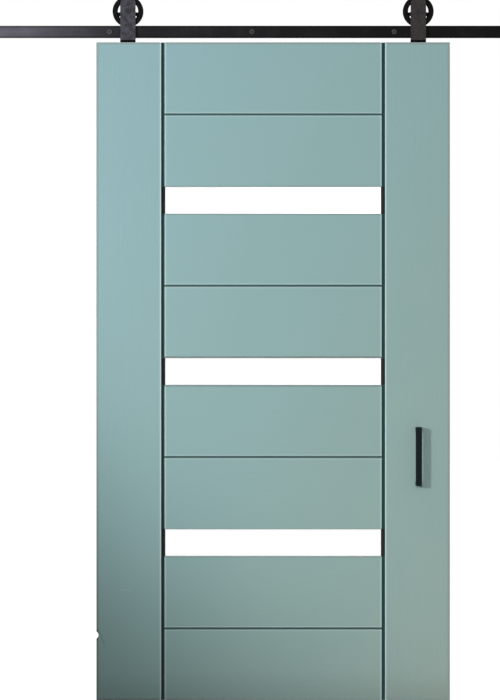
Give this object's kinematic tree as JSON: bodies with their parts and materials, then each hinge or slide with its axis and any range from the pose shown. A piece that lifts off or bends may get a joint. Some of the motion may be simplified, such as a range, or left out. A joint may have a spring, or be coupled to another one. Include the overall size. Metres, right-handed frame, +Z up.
{
  "type": "sliding barn door",
  "caption": "Painted board-and-stile barn door with frosted glass strips and a bar pull, hung by strap hangers with spoked rollers from a flat steel wall track.",
  "frame": {"origin": "on the wall plane, at the middle of the track's row of wall bolts", "axes": "+X along the track to the right seen from the front, +Y into the wall, +Z up"},
  "size_m": [2.438, 0.148, 2.2853],
  "materials": {
    "painted_wood": "satin paint",
    "plain_wood": "bare",
    "frosted_glass": "acid-etched both sides",
    "black_rubber": "matt",
    "black_steel": "matt black powder coat",
    "fastener_steel": "black oxide",
    "pull_metal": "satin black powder coat",
    "bearing_steel": "ground"
  },
  "bodies": {
    "rail": {"rail": "black_steel", "wall_spacers": "black_steel", "wall_bolts": "fastener_steel", "end_stop_left": "black_steel", "end_stop_right": "black_steel", "stop_bumper_left": "black_rubber", "stop_bumper_right": "black_rubber", "stop_screws": "fastener_steel"},
    "door": {"stile_left": "painted_wood", "stile_right": "painted_wood", "board_1": "painted_wood", "board_2": "painted_wood", "board_3": "painted_wood", "board_4": "painted_wood", "board_5": "painted_wood", "board_6": "painted_wood", "board_7": "painted_wood", "board_8": "painted_wood", "pane_1": "frosted_glass", "pane_2": "frosted_glass", "pane_3": "frosted_glass", "glazing_seal_1": "black_rubber", "glazing_seal_2": "black_rubber", "glazing_seal_3": "black_rubber", "dowels_left": "plain_wood", "dowels_right": "plain_wood", "hanger_left": "black_steel", "hanger_right": "black_steel", "foot_screws_left": "fastener_steel", "foot_screws_right": "fastener_steel", "axle_bolt_left": "fastener_steel", "axle_bolt_right": "fastener_steel", "axle_spacers_left": "fastener_steel", "axle_spacers_right": "fastener_steel", "axle_nut_left": "fastener_steel", "axle_nut_right": "fastener_steel", "bearing_inner_left": "bearing_steel", "bearing_inner_right": "bearing_steel", "pull_handle": "pull_metal", "pull_screws": "fastener_steel"},
    "wheel_left": {"wheel_left": "black_steel", "bearing_outer_left": "bearing_steel"},
    "wheel_right": {"wheel_right": "black_steel", "bearing_outer_right": "bearing_steel"}
  },
  "joints": [
    {"name": "door_slide", "type": "slide", "parent": "rail", "child": "door", "axis": [1, 0, 0], "range_m": [-0.9355, 0.3355]},
    {"name": "wheel_left_spin", "type": "hinge", "parent": "door", "child": "wheel_left", "pos_m": [-0.171, -0.038, 0.0663], "axis": [0, 1, 0], "continuous": true},
    {"name": "wheel_right_spin", "type": "hinge", "parent": "door", "child": "wheel_right", "pos_m": [0.771, -0.038, 0.0663], "axis": [0, 1, 0], "continuous": true}
  ],
  "couplings": [
    {"joint": "wheel_left_spin", "follows": "door_slide", "rad_per_m": 21.739},
    {"joint": "wheel_right_spin", "follows": "door_slide", "rad_per_m": 21.739}
  ]
}
